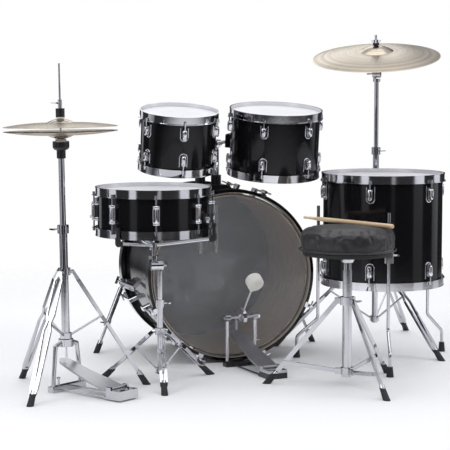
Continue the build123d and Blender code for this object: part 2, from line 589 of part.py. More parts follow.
def hihat_stand():
    base = tripod(hihat, HIHAT_LEGS, HIHAT_YOKE_Z, HIHAT_COLLAR_Z, HIHAT_TUBE_R, 0.40,
                  half=13.0)
    base += hihat * tube(HIHAT_TUBE_R, HIHAT_COLLAR_Z - 6, HIHAT_CLAMP_Z)
    clamp = tube(18, HIHAT_CLAMP_Z - 26, HIHAT_CLAMP_Z)
    clamp += wing_screw((10, -10, HIHAT_CLAMP_Z - 12), (0.8, -0.6, 0), 22, 26)
    base += hihat * clamp
    base -= hihat * tube(HIHAT_UPPER_R + SLIDE_FIT, HIHAT_COLLAR_Z + 40, HIHAT_CLAMP_Z + 20)
    base -= hihat * tube(HIHAT_ROD_R + 3, 100, 600)
    put("hihat_stand_base", base)
    mark("hihat_height", hihat.from_local_coords((0, 0, HIHAT_CLAMP_Z)), hihat.z_dir)
    upper = tube(HIHAT_UPPER_R, 300, HIHAT_SEAT_Z - 10, HIHAT_ROD_R + 1.5)
    cup = spun([(HIHAT_ROD_R + 1.5, HIHAT_SEAT_Z - 24), (14, HIHAT_SEAT_Z - 24),
                (14, HIHAT_SEAT_Z), (22, HIHAT_SEAT_Z + 4), (26, HIHAT_SEAT_Z + 10),
                (26, HIHAT_SEAT_Z + 28), (24, HIHAT_SEAT_Z + 30),
                (HIHAT_ROD_R + 1.5, HIHAT_SEAT_Z + 30)])
    felt_top = HAT_LOW_Z - HAT_BOW - HAT_BELL_H - CYMBAL_THICK
    felt = tube(17, HIHAT_SEAT_Z + 30, felt_top, HIHAT_ROD_R + 1.5)
    put("hihat_upper_tube", hihat * (upper + cup + felt))
    low = Rot(180, 0, 0) * cymbal(HAT_R, HAT_BOW, HAT_BELL_R, HAT_BELL_H, CYMBAL_HOLE)
    put("hihat_bottom_cymbal", hihat * Pos(0, 0, HAT_LOW_Z) * low)
    put("hihat_top_cymbal", hihat * Pos(0, 0, HAT_HIGH_Z) * cymbal(
        HAT_R, HAT_BOW, HAT_BELL_R, HAT_BELL_H, CYMBAL_HOLE))
    bell = HAT_HIGH_Z + HAT_BOW + HAT_BELL_H
    bore = HIHAT_ROD_R + SLIDE_FIT
    clutch = tube(5.8, bell - 14, bell + 14, bore) + tube(13, bell - 8, bell - 1.6, bore)
    clutch += tube(14, bell + 1.5, bell + 33, bore) + tube(6.5, bell + 33, bell + 60, bore)
    clutch += wing_screw((5, 0, bell + 50), (1, -0.3, 0), 20, 24)
    clutch -= tube(bore, bell - 40, bell + 80)
    put("hihat_clutch", hihat * clutch)
    mark("hihat_clutch", hihat.from_local_coords((0, 0, bell)), hihat.z_dir)


def hihat_pedal():
    turned = hihat * Rot(0, 0, HIHAT_TURN - frame_turn(hihat))
    frame = tube(HIHAT_TUBE_R + 11, HIHAT_COLLAR_Z - 34, HIHAT_COLLAR_Z - 11)
    for side in (-1, 1):
        top, foot = (side * 24, 0, HIHAT_COLLAR_Z - 22), (side * 60, 0, 16)
        frame += rod(top, (side * 46, 0, HIHAT_COLLAR_Z - 30), 7)
        frame += Pos(side * 46, 0, HIHAT_COLLAR_Z - 30) * Sphere(7)
        frame += rod((side * 46, 0, HIHAT_COLLAR_Z - 30), foot, 7)
        brace_x = side * (HIHAT_HALF - 6)
        frame += rod((brace_x, -8, 6), (brace_x, HIHAT_PIVOT[0] - 10, 5), 2.6)
    frame += block((-72, -12, -4), (72, 12, 18))
    frame += tube(3, 0, 44, x=-40, y=-4) + tube(6, 40, 45, x=-40, y=-4)
    frame -= tube(HIHAT_TUBE_R + 0.6, HIHAT_COLLAR_Z - 12, 300)
    frame -= tube(HIHAT_ROD_R + 5.5, 60, 300)
    frame += heel_plate(HIHAT_PIVOT, HIHAT_HALF, 52)
    put("hihat_pedal_frame", above_floor(turned * frame))
    board = footboard(HIHAT_TOE, HIHAT_PIVOT, 26, HIHAT_HALF, 5)
    put("hihat_footboard", turned * board)
    toe_z = HIHAT_TOE[1]
    pull = tube(HIHAT_ROD_R, toe_z + 48, HIHAT_ROD_TOP - HIHAT_TIP)
    pull += tube(HIHAT_TIP_R, HIHAT_ROD_TOP - HIHAT_TIP, HIHAT_ROD_TOP)
    pull += tube(6, toe_z + 40, toe_z + 52) + block((-3, -2.5, toe_z + 2.5), (3, 2.5, toe_z + 42))
    put("hihat_pull_rod", hihat * Rot(0, 0, HIHAT_TURN - frame_turn(hihat)) * pull)
    mark("hihat_pull_rod", hihat.from_local_coords((0, 0, 500)), hihat.z_dir)
    hinge = turned * Pos(0, HIHAT_PIVOT[0], HIHAT_PIVOT[1])
    across = turned * Pos(100, HIHAT_PIVOT[0], HIHAT_PIVOT[1])
    mark("hihat_footboard", hinge.position, across.position - hinge.position)


# ---------------------------------------------------------------- bass pedal
AXLE_Z, POST_HALF, CAM_R = 165.0, 52.0, 34.0
PEDAL_TOE, PEDAL_PIVOT = (50.0, 117.0), (-212.0, 30.0)
BEATER_LEAN, BEATER_REACH = 37.0, 166.0
PEDAL_HALF, HIHAT_HALF = 35.0, 41.0
pedal = Plane(origin=PEDAL_AT, x_dir=polar(1, PEDAL_TURN), z_dir=(0, 0, 1))


def bass_pedal():
    frame = block((-62, -16, 0), (62, 14, 12))
    frame += block((-34, 10, 0), (34, 58, 3.2))
    frame += block((-22, 24, 0), (22, 46, 16)) - block((-40, 40, 3.2), (40, 90, 40))
    for side in (-1, 1):
        x = side * POST_HALF
        frame += tube(6, 0, AXLE_Z, x=x)
        frame += rod((x - 9, 0, AXLE_Z), (x + 9, 0, AXLE_Z), 12)
        brace_x = side * (PEDAL_HALF - 6)
        frame += rod((brace_x, -10, 5), (brace_x, PEDAL_PIVOT[0] - 8, 5), 2.6)
    frame += rod((POST_HALF, 0, 84), (POST_HALF + 20, 0, 84), 3)
    frame -= rod((-90, 0, AXLE_Z), (90, 0, AXLE_Z), 4 + PIN_FIT)
    frame += heel_plate(PEDAL_PIVOT, PEDAL_HALF, 56)
    put("pedal_frame", pedal * frame)
    put("pedal_footboard", pedal * footboard(PEDAL_TOE, PEDAL_PIVOT, 23, PEDAL_HALF, 6))
    chain_y = CAM_R + 2.5
    chain_low = PEDAL_TOE[1] + 0.3
    put("pedal_footboard", pedal * block((-4, chain_y - 2.4, chain_low),
                                         (4, chain_y + 2.4, AXLE_Z - 3)))
    shaft = rod((-POST_HALF - 14, 0, AXLE_Z), (POST_HALF + 18, 0, AXLE_Z), 4)
    cam = rod((-6, 0, AXLE_Z), (6, 0, AXLE_Z), CAM_R)
    cam -= block((-10, -60, AXLE_Z - 60), (10, 60, AXLE_Z - 12))
    cam -= rod((-10, -16, AXLE_Z), (10, -16, AXLE_Z), 10)
    shaft += cam + rod((-12, 0, AXLE_Z), (12, 0, AXLE_Z), 13)
    crank = block((POST_HALF + 12, -5, AXLE_Z - 5), (POST_HALF + 18, 24, AXLE_Z + 5))
    shaft += crank
    lean = math.radians(BEATER_LEAN)
    way = Vector(0, -math.sin(lean), math.cos(lean))
    hub = Vector(0, 0, AXLE_Z)
    tip = hub + way * BEATER_REACH
    face = Vector(0, math.cos(lean), math.sin(lean))
    shaft += rod(hub - way * 20, tip - way * 18, 3.6)
    put("pedal_beater_shaft", pedal * shaft)
    felt = rod(tip - face * 19, tip + face * 19, 28)
    felt = fillet(felt.edges(), 8)
    felt += rod(tip - way * 40, tip - way * 20, 6.5)
    felt -= rod(hub, tip - way * 18, 3.62)
    put("pedal_beater", pedal * felt)
    spring = tube(5, 88, AXLE_Z - 9, 3, x=POST_HALF + 15, y=19)
    put("pedal_spring", pedal * spring)
    mark("pedal_beater", pedal.from_local_coords((0, 0, AXLE_Z)), pedal.x_dir)
    mark("pedal_footboard", pedal.from_local_coords((0, *PEDAL_PIVOT)), pedal.x_dir)


# ---------------------------------------------------------------- throne
THRONE_TUBE_R, THRONE_POST_R = 14.8, 12.7
THRONE_COLLAR_Z, THRONE_YOKE_Z, THRONE_TUBE_TOP = 46.0, 272.0, 372.0
SEAT_R, SEAT_LOW, SEAT_TOP = 158.0, 431.0, 507.0
YOKE_OUT, COLLAR_OUT = 32.0, 29.0
THRONE_WAIST = 0.78
LEG_HALF = 2.6


def hinge_ears(out, z, half=LEG_HALF):
    """Two ears and the pin that a strip of the given half width turns on."""
    low, high = half + GAP, half + GAP + 3.2
    ears = block((out - 16, low, z - 9), (out + 8, high, z + 9))
    ears += block((out - 16, -high, z - 9), (out + 8, -low, z + 9))
    return ears + rod((out, -high, z), (out, high, z), 3.0)


def strip(start, end, half, height, offset=0.0):
    """Flat bar in the XZ plane with round ends, a hole at its start."""
    start, end = Vector(start), Vector(end)
    along = (end - start).normalized()
    frame = Plane(origin=start, x_dir=along, z_dir=(0, 1, 0))
    length = (end - start).length
    bar = SlotCenterToCenter(length, height)
    solid = extrude(frame * (Pos(length / 2, 0) * bar), half, both=True)
    solid -= rod(start - Vector(0, 20, 0), start + Vector(0, 20, 0), 3.0 + PIN_FIT)
    return Pos(0, offset, 0) * solid


def throne():
    place = Pos(*THRONE_AT)
    x, y, _ = THRONE_AT
    base = tube(THRONE_TUBE_R, 28, THRONE_TUBE_TOP)
    base += tube(THRONE_TUBE_R + 5, THRONE_COLLAR_Z - 12, THRONE_COLLAR_Z + 12)
    for a in THRONE_LEGS:
        base += Rot(0, 0, a) * hinge_ears(COLLAR_OUT, THRONE_COLLAR_Z)
    base -= tube(THRONE_POST_R + SLIDE_FIT, 10, 500)
    put("throne_base_tube", place * base)
    yoke = tube(THRONE_TUBE_R + 8, THRONE_YOKE_Z - 13, THRONE_YOKE_Z + 13)
    for a in THRONE_LEGS:
        yoke += Rot(0, 0, a) * hinge_ears(YOKE_OUT, THRONE_YOKE_Z)
    yoke += wing_screw((15, -15, THRONE_YOKE_Z), (1, -1, 0), 20, 24)
    yoke -= tube(THRONE_TUBE_R + SLIDE_FIT, 200, 340)
    put("throne_yoke", place * yoke)
    mark("throne_yoke", (x, y, THRONE_YOKE_Z), (0, 0, 1))
    pivot, foot = Vector(YOKE_OUT, 0, THRONE_YOKE_Z), Vector(THRONE_FOOT_R, 0, 12)
    hinge_low = Vector(COLLAR_OUT, 0, THRONE_COLLAR_Z)
    joint = pivot + (foot - pivot) * THRONE_WAIST
    offset = LEG_HALF + GAP + 1.4
    for number, a in enumerate(THRONE_LEGS, 1):
        leg = strip(pivot, foot, LEG_HALF, 15) + boot(pivot, foot)
        put("throne_leg_%d" % number, place * Rot(0, 0, a) * leg)
        side = strip(hinge_low, joint, LEG_HALF, 13)
        far = strip(hinge_low, joint, 1.4, 13, offset)
        brace = side & block((0, -3, 0), (joint.X - 40, 3, 200))
        link = block((joint.X - 52, -LEG_HALF, 0), (joint.X - 40, offset + 1.4, 200))
        link = link & strip(hinge_low, joint, 20, 13)
        tail = far & block((joint.X - 52, 0, 0), (joint.X + 20, 20, 200))
        put("throne_brace_%d" % number, place * Rot(0, 0, a) * (brace + link + tail))
        side_way = polar(1, a + 90)
        mark("throne_leg_%d" % number,
             Vector(x, y, 0) + polar(YOKE_OUT, a, THRONE_YOKE_Z), side_way)
        mark("throne_brace_%d" % number,
             Vector(x, y, 0) + polar(COLLAR_OUT, a, THRONE_COLLAR_Z), side_way)
    put("throne_seat_post", place * tube(THRONE_POST_R, 60, 418))
    mark("throne_height", (x, y, THRONE_TUBE_TOP), (0, 0, 1))
    mark("throne_swivel", (x, y, 400), (0, 0, 1))
    bracket = spun([(THRONE_POST_R + PIN_FIT, 395), (18, 395), (29, 414), (29, 420), (0, 420),
                    (0, 418.2), (THRONE_POST_R + PIN_FIT, 418.2)])
    bracket += wing_screw((-14, -6, 406), (-1, -0.4, 0), 12, 12)
    board = tube(SEAT_R - 16, 420, SEAT_LOW)
    put("throne_seat_bracket", place * (bracket + board))
    cushion = tube(SEAT_R, SEAT_LOW, SEAT_TOP)
    cushion = fillet(cushion.edges().group_by(Axis.Z)[-1], 20)
    cushion = fillet(cushion.edges().group_by(Axis.Z)[0], 9)
    put("throne_cushion", place * cushion)


STICK_BUTT, STICK_LENGTH, STICK_TURN, STICK_R = (344.0, -586.0), 406.0, 113.3, 7.2


def drumstick():
    start = Vector(*STICK_BUTT, SEAT_TOP + STICK_R + 0.2)
    frame = Plane(origin=start, x_dir=polar(1, STICK_TURN + 90), z_dir=polar(1, STICK_TURN))
    taper = STICK_LENGTH - 90
    outline = [(0, 0), (STICK_R - 2, 0), (STICK_R, 3), (STICK_R, taper),
               (3.4, STICK_LENGTH - 14), (5.0, STICK_LENGTH - 8), (3.0, STICK_LENGTH),
               (0, STICK_LENGTH)]
    put("drumstick", frame * spun(outline))
    mark("stick_lift", start, (0, 0, 1))


# ---------------------------------------------------------------- build and write
bass_drum()
spur("left", -1)
spur("right", 1)
tom_mount()
tom_with_arm("left", SMALL_TOM_AT, SMALL_TOM_LEAN, SMALL_TOM_R, SMALL_TOM_DEPTH, -97)
tom_with_arm("right", LARGE_TOM_AT, LARGE_TOM_LEAN, LARGE_TOM_R, LARGE_TOM_DEPTH, -122.5)
floor_tom()
snare_drum()
snare_stand()
crash_stand()
hihat_stand()
hihat_pedal()
bass_pedal()
throne()
drumstick()

solids = {name: [s for shape in shapes for s in shape.solids()] for name, shapes in nodes.items()}
box = Compound([s for group in solids.values() for s in group]).bounding_box()
SHIFT = Vector(-(box.min.X + box.max.X) / 2, -(box.min.Y + box.max.Y) / 2, -box.min.Z)

if __name__ == "__main__":
    os.makedirs("parts", exist_ok=True)
    for name, group in solids.items():
        export_step(Pos(*SHIFT) * Compound(group), "parts/%s.step" % name)
    print(len(solids), "nodes, size", [round(v, 1) for v in box.size], "shift", SHIFT)
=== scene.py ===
import json
import math
import bmesh
import bpy
import numpy as np
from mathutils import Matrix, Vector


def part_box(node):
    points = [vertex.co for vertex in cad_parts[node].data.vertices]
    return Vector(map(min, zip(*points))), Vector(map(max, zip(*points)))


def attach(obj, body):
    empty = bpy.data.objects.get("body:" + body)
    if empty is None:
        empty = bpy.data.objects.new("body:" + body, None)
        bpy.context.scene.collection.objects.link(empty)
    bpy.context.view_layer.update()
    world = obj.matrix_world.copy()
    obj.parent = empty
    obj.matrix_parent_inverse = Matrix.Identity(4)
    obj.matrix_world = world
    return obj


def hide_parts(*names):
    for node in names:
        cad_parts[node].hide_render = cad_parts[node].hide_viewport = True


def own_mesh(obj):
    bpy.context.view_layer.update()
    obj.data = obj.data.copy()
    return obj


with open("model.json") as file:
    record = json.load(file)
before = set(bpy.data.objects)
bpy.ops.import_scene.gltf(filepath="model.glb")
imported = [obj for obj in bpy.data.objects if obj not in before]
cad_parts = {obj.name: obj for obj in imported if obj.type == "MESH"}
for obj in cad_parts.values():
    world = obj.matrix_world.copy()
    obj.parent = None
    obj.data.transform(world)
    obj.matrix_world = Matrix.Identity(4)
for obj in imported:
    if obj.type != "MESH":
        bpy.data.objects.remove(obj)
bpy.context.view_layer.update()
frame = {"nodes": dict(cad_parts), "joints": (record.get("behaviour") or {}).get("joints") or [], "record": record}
nodes = frame["nodes"]
bodyOf = {n: b for b, group in frame["record"]["behaviour"]["bodies"].items() for n in group}
joints = {j["name"]: j for j in frame["joints"]}
print("frame loaded:", len(nodes), "nodes")


# small numpy helpers: boxes, axes and placing
def middle(node):
    low, high = (np.array(c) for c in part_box(node))
    return (low + high) / 2


def unit(v):
    v = np.asarray(v, float)
    return v / np.linalg.norm(v)


def jointAt(name):
    return np.array(joints[name]["pos_m"], float)


def jointAxis(name):
    return unit(joints[name]["axis"])


throneColumn = (0.231, -0.489, 0.400)
layoutShift = jointAt("throne_swivel") - throneColumn


def fromLayout(x, y, z):
    return np.array((x, y, z)) + layoutShift


# a 3x3 turn whose columns are x, y, z: z along the given way, x as close as it can be to the hint
def turnTo(z, hint=(1.0, 0.0, 0.0)):
    z = unit(z)
    x = unit(np.asarray(hint, float) - z * np.dot(hint, z))
    return np.stack([x, np.cross(z, x), z], axis=1)


# turn about the z axis, in degrees
def spin(degrees):
    a = math.radians(degrees)
    return np.array([[math.cos(a), -math.sin(a), 0], [math.sin(a), math.cos(a), 0], [0, 0, 1.0]])


# moved points = points turned, then shifted
def placed(points, turn, at):
    return points @ np.asarray(turn).T + np.asarray(at, float)


# mesh from grids: each grid is (rows, columns, 3); quads join neighbours, a flag closes columns to a ring
def meshFromGrids(name, grids, material, body, smoothAngle=40, merge=1e-6):
    verts, faces, start = [], [], 0
    for points, ring in grids:
        rows, cols = points.shape[:2]
        index = np.arange(rows * cols).reshape(rows, cols) + start
        right = np.roll(index, -1, axis=1) if ring else index[:, 1:]
        left = index if ring else index[:, :-1]
        quads = np.stack([left[:-1], right[:-1], right[1:], left[1:]], axis=-1)
        verts.append(points.reshape(-1, 3))
        faces.append(quads.reshape(-1, 4))
        start += rows * cols
    mesh = bpy.data.meshes.new(name)
    mesh.from_pydata(np.concatenate(verts), [], np.concatenate(faces).tolist())
    work = bmesh.new()
    work.from_mesh(mesh)
    bmesh.ops.remove_doubles(work, verts=work.verts, dist=merge)
    bmesh.ops.dissolve_degenerate(work, edges=work.edges, dist=1e-7)
    bmesh.ops.recalc_face_normals(work, faces=work.faces)
    work.to_mesh(mesh)
    work.free()
    mesh.shade_smooth()
    mesh.set_sharp_from_angle(angle=math.radians(smoothAngle))
    mesh.materials.append(material)
    piece = bpy.data.objects.new(name, mesh)
    bpy.context.scene.collection.objects.link(piece)
    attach(piece, body)
    return piece


# closed solid of revolution about z: the outline's (r, z) points turned in equal steps, ends on the axis
def lathe(outline, steps=32):
    outline = np.asarray(outline, float)
    a = np.linspace(0, 2 * math.pi, steps, endpoint=False)
    r, z = outline[:, :1], outline[:, 1:]
    return np.stack([r * np.cos(a), r * np.sin(a), np.repeat(z, steps, axis=1)], axis=-1)


# round bar along a path: circles square to the path, closed at both ends by a point on the line
def bar(path, radius, steps=10, closed=False):
    path = np.asarray(path, float)
    if closed:
        ahead = np.roll(path, -1, axis=0) - np.roll(path, 1, axis=0)
    else:
        ahead = np.gradient(path, axis=0)
    ahead /= np.linalg.norm(ahead, axis=1, keepdims=True)
    up = np.where(np.abs(ahead[:, 2:]) > 0.9, [[1.0, 0, 0]], [[0, 0, 1.0]])
    side = np.cross(up, ahead)
    side /= np.linalg.norm(side, axis=1, keepdims=True)
    other = np.cross(ahead, side)
    a = np.linspace(0, 2 * math.pi, steps, endpoint=False)[None, :, None]
    radius = np.broadcast_to(np.asarray(radius, float).reshape(-1, 1, 1), (len(path), 1, 1))
    rings = path[:, None] + radius * (side[:, None] * np.cos(a) + other[:, None] * np.sin(a))
    if closed:
        return np.concatenate([rings, rings[:1]])
    first = np.repeat(path[:1, None], steps, axis=1)
    last = np.repeat(path[-1:, None], steps, axis=1)
    return np.concatenate([first, rings, last])


# material graph helpers
def addNode(mat, kind, inputs=None, **settings):
    node = mat.node_tree.nodes.new("ShaderNode" + kind)
    for key, value in settings.items():
        setattr(node, key, value)
    for key, value in (inputs or {}).items():
        if isinstance(value, bpy.types.NodeSocket):
            mat.node_tree.links.new(value, node.inputs[key])
        else:
            node.inputs[key].default_value = value
    return node


def calc(mat, operation, a, b=0.0, c=0.0):
    return addNode(mat, "Math", {0: a, 1: b, 2: c}, operation=operation).outputs[0]


# 0 below low, 1 above high, smooth between
def step(mat, value, low, high):
    return addNode(mat, "MapRange", {"Value": value, "From Min": low, "From Max": high},
                   interpolation_type="SMOOTHSTEP").outputs["Result"]


def between(mat, value, low, high, soft=0.0004):
    rising = step(mat, value, low - soft, low + soft)
    falling = step(mat, value, high - soft, high + soft)
    return calc(mat, "SUBTRACT", rising, falling)


def mixed(mat, factor, a, b):
    node = addNode(mat, "Mix", data_type="RGBA")
    for socket, value in (("Factor_Float", factor), ("A_Color", a), ("B_Color", b)):
        target = [s for s in node.inputs if s.identifier == socket][0]
        if isinstance(value, bpy.types.NodeSocket):
            mat.node_tree.links.new(value, target)
        else:
            target.default_value = value if socket == "Factor_Float" else (*value, 1.0)
    return [s for s in node.outputs if s.identifier == "Result_Color"][0]


# number that runs from a to b as factor runs from 0 to 1
def blended(mat, factor, a, b):
    return addNode(mat, "MapRange", {"Value": factor, "To Min": a, "To Max": b}).outputs["Result"]


def noise(mat, vector, scale, detail=3.0, rough=0.55):
    return addNode(mat, "TexNoise", {"Vector": vector, "Scale": scale, "Detail": detail,
                                     "Roughness": rough}).outputs["Fac"]


# object coordinates seen from a point, turned so that z is the given way
def localCoords(mat, at=(0.0, 0.0, 0.0), turn=None, stretch=(1.0, 1.0, 1.0)):
    coords = addNode(mat, "TexCoord").outputs["Object"]
    mapping = addNode(mat, "Mapping", {"Vector": coords}, vector_type="TEXTURE")
    mapping.inputs["Location"].default_value = [float(v) for v in at]
    mapping.inputs["Scale"].default_value = stretch
    if turn is not None:
        from mathutils import Matrix
        mapping.inputs["Rotation"].default_value = Matrix(np.asarray(turn).tolist()).to_euler()
    return mapping.outputs[0]


def xyz(mat, vector):
    return addNode(mat, "SeparateXYZ", {0: vector}).outputs


def radiusOf(mat, vector):
    parts = xyz(mat, vector)
    squares = calc(mat, "MULTIPLY", parts[0], parts[0]), calc(mat, "MULTIPLY", parts[1], parts[1])
    return calc(mat, "SQRT", calc(mat, "ADD", *squares))


def newMaterial(name, colour, metallic=0.0, roughness=0.5, **sockets):
    mat = bpy.data.materials.new(name)
    mat.use_nodes = True
    mat.diffuse_color = (*colour, 1.0)
    shader = mat.node_tree.nodes["Principled BSDF"]
    shader.inputs["Base Color"].default_value = (*colour, 1.0)
    shader.inputs["Metallic"].default_value = metallic
    shader.inputs["Roughness"].default_value = roughness
    for key, value in sockets.items():
        shader.inputs[key.replace("_", " ")].default_value = value
    return mat


def drive(mat, socket, value):
    target = mat.node_tree.nodes["Principled BSDF"].inputs[socket]
    if isinstance(value, bpy.types.NodeSocket):
        mat.node_tree.links.new(value, target)
    else:
        target.default_value = value


def bump(mat, height, distance, strength=1.0):
    node = addNode(mat, "Bump", {"Height": height, "Distance": distance, "Strength": strength})
    drive(mat, "Normal", node.outputs[0])


# paint over a metal: inside each region the look is a colour, a metal share and a roughness
def regions(mat, base, looks):
    colour, metal, rough = base
    for mask, (nextColour, nextMetal, nextRough) in looks:
        colour = mixed(mat, mask, colour, nextColour)
        metal = blendedTo(mat, mask, metal, nextMetal)
        rough = blendedTo(mat, mask, rough, nextRough)
    drive(mat, "Base Color", colour)
    drive(mat, "Metallic", metal)
    drive(mat, "Roughness", rough)


# a where the mask is 0, b where it is 1: a + mask * (b - a), a may be a socket
def blendedTo(mat, mask, a, b):
    gap = calc(mat, "SUBTRACT", b, a)
    return calc(mat, "MULTIPLY_ADD", mask, gap, a)


chromeLook = {"colour": (0.74, 0.74, 0.77), "smudge": (0.05, 0.16), "satin": (0.60, 0.60, 0.63)}
rubberLook = ((0.012, 0.012, 0.013), 0.0, 0.62)
blackMetalLook = ((0.018, 0.018, 0.02), 0.0, 0.34)
feltLook = ((0.78, 0.77, 0.72), 0.0, 0.95)
darkFeltLook = ((0.03, 0.03, 0.032), 0.0, 0.95)


# plated metal: soft smudges vary its gloss, faint ripples bend its reflections
def chrome(name="chrome", looks=None, satin=False):
    colour = chromeLook["satin"] if satin else chromeLook["colour"]
    mat = newMaterial(name, colour, 1.0, 0.1)
    coords = localCoords(mat)
    smudge = noise(mat, coords, 14.0, 5.0)
    low, high = chromeLook["smudge"]
    rough = blended(mat, step(mat, smudge, 0.35, 0.75), low, high)
    tint = mixed(mat, smudge, colour, tuple(c * 0.88 for c in colour))
    bump(mat, noise(mat, coords, 90.0, 2.0), 0.00012, 0.35)
    regions(mat, (tint, 1.0, rough), looks(mat) if looks else [])
    return mat


def heightMask(mat, low, high):
    return between(mat, xyz(mat, localCoords(mat))[2], low, high)


def rubberFeet(mat, top=0.034):
    return [(heightMask(mat, -1.0, top), rubberLook)]


# gloss black wrap: near-black film, slight orange peel, wiped streaks in the gloss
def wrap(name):
    mat = newMaterial(name, (0.006, 0.006, 0.008), 0.0, 0.09, Specular_IOR_Level=0.3,
                      Coat_Weight=0.08, Coat_Roughness=0.04)
    coords = localCoords(mat)
    drive(mat, "Roughness", blended(mat, noise(mat, coords, 9.0, 6.0), 0.05, 0.17))
    drive(mat, "Base Color", mixed(mat, noise(mat, coords, 3.0), (0.004, 0.004, 0.005),
                                   (0.008, 0.008, 0.010)))
    bump(mat, noise(mat, coords, 55.0, 2.0), 0.0003, 0.25)
    return mat


# bass drum shell: black wrap outside, pale wood with growth lines inside
def bassWrap():
    mat = wrap("bassWrap")
    centre = middle("bass_shell")
    local = localCoords(mat, centre, turnTo((0, 1, 0)))
    inside = calc(mat, "SUBTRACT", 1.0, step(mat, radiusOf(mat, local), 0.2755, 0.2765))
    parts = xyz(mat, local)
    around = calc(mat, "ARCTAN2", parts[1], parts[0])
    grainAt = addNode(mat, "CombineXYZ", {0: calc(mat, "MULTIPLY", around, 0.5),
                                          1: calc(mat, "MULTIPLY", parts[2], 14.0),
                                          2: 0.0}).outputs[0]
    grain = noise(mat, grainAt, 9.0, 6.0, 0.65)
    wood = mixed(mat, step(mat, grain, 0.3, 0.72), (0.47, 0.36, 0.25), (0.66, 0.54, 0.41))
    shader = mat.node_tree.nodes["Principled BSDF"]
    black = shader.inputs["Base Color"].links[0].from_socket
    gloss = shader.inputs["Roughness"].links[0].from_socket
    drive(mat, "Base Color", mixed(mat, inside, black, wood))
    drive(mat, "Roughness", blendedTo(mat, inside, gloss, 0.5))
    drive(mat, "Coat Weight", blendedTo(mat, inside, 0.08, 0.0))
    return mat


# bass hoops: black lacquer, a silver inlay round the front hoop and a cream line inside the batter hoop
def hoopLacquer():
    mat = wrap("hoopLacquer")
    low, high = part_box("bass_hoops")
    centre = middle("bass_hoops")
    local = localCoords(mat, centre, turnTo((0, 1, 0)))
    radius, along = radiusOf(mat, local), xyz(mat, localCoords(mat))[1]
    outer = step(mat, radius, 0.2952, 0.2956)
    inlay = calc(mat, "MULTIPLY", outer, between(mat, along, high.y - 0.026, high.y - 0.012))
    inner = calc(mat, "SUBTRACT", 1.0, step(mat, radius, 0.2846, 0.2850))
    cream = calc(mat, "MULTIPLY", inner, between(mat, along, low.y - 0.01, low.y + 0.05))
    shader = mat.node_tree.nodes["Principled BSDF"]
    black = shader.inputs["Base Color"].links[0].from_socket
    colour = mixed(mat, inlay, black, (0.62, 0.62, 0.64))
    drive(mat, "Base Color", mixed(mat, cream, colour, (0.60, 0.52, 0.40)))
    drive(mat, "Metallic", inlay)
    return mat


# clear film: mostly see-through, more gloss at a slant; its pale lilac-grey colour, more opaque at a slant, is a
# painted reflection of the white room
def clearFilm():
    # pale lilac-grey film colour: painted reflection of the white room
    mat = newMaterial("clearFilm", (0.80, 0.81, 0.84), 0.0, 0.06, Specular_IOR_Level=0.7)
    weight = addNode(mat, "LayerWeight", {"Blend": 0.35}).outputs["Fresnel"]
    scuffs = noise(mat, localCoords(mat), 24.0, 6.0)
    haze = blended(mat, step(mat, scuffs, 0.45, 0.8), 0.0, 0.05)
    # opacity grows at a slant and shows more of the painted pale reflection; scuffs add a little real haze
    drive(mat, "Alpha", calc(mat, "ADD", blended(mat, weight, 0.10, 0.62), haze))
    drive(mat, "Roughness", blended(mat, scuffs, 0.03, 0.14))
    return mat


def darkFilm():
    mat = newMaterial("darkFilm", (0.03, 0.032, 0.038), 0.0, 0.07, Coat_Weight=0.5)
    coords = localCoords(mat)
    drive(mat, "Roughness", blended(mat, noise(mat, coords, 11.0, 5.0), 0.04, 0.13))
    drive(mat, "Base Color", mixed(mat, noise(mat, coords, 2.5), (0.026, 0.028, 0.034),
                                   (0.045, 0.048, 0.056)))
    return mat


# coated film: off-white, fine sprayed grit, slightly greyer where sticks land
def coatedFilm(name, node, lean):
    mat = newMaterial(name, (0.72, 0.72, 0.74), 0.0, 0.58)
    turn = leanTurn(lean)
    local = localCoords(mat, middle(node), turn)
    grit = noise(mat, local, 900.0, 3.0, 0.7)
    worn = calc(mat, "SUBTRACT", 1.0, step(mat, radiusOf(mat, local), 0.02, 0.11))
    patch = calc(mat, "MULTIPLY", worn, noise(mat, local, 18.0, 5.0))
    base = mixed(mat, grit, (0.70, 0.70, 0.72), (0.80, 0.80, 0.82))
    drive(mat, "Base Color", mixed(mat, calc(mat, "MULTIPLY", patch, 0.35), base, (0.5, 0.5, 0.53)))
    bump(mat, grit, 0.0002, 0.5)
    return mat


# lathed bronze: grooves are noise along the radius, tone drifts in wide rings, a smoother bell, and a paler band
# on the edge that is a painted highlight
def bronze(name, centre, turn, bell, edge):
    mat = newMaterial(name, (0.55, 0.47, 0.36), 1.0, 0.3)
    local = localCoords(mat, centre, turn)
    radius = radiusOf(mat, local)
    groove = addNode(mat, "TexNoise", {"W": calc(mat, "MULTIPLY", radius, 620.0), "Detail": 4.0,
                                       "Scale": 1.0}, noise_dimensions="1D").outputs["Fac"]
    rings = addNode(mat, "TexNoise", {"W": calc(mat, "MULTIPLY", radius, 75.0), "Detail": 3.0,
                                      "Scale": 1.0}, noise_dimensions="1D").outputs["Fac"]
    patina = noise(mat, local, 7.0, 5.0)
    tone = calc(mat, "ADD", calc(mat, "MULTIPLY", rings, 0.6), calc(mat, "MULTIPLY", patina, 0.4))
    colour = mixed(mat, step(mat, tone, 0.3, 0.72), (0.36, 0.31, 0.24), (0.54, 0.48, 0.39))
    # paler band on the outermost edge: painted highlight where the edge catches the light
    rim = between(mat, radius, edge - 0.002, edge + 0.01)
    drive(mat, "Base Color", mixed(mat, rim, colour, (0.76, 0.68, 0.55)))
    onBell = calc(mat, "SUBTRACT", 1.0, step(mat, radius, bell - 0.004, bell))
    drive(mat, "Roughness", blendedTo(mat, onBell, blended(mat, groove, 0.24, 0.42), 0.22))
    bump(mat, groove, 0.0003, 0.55)
    return mat
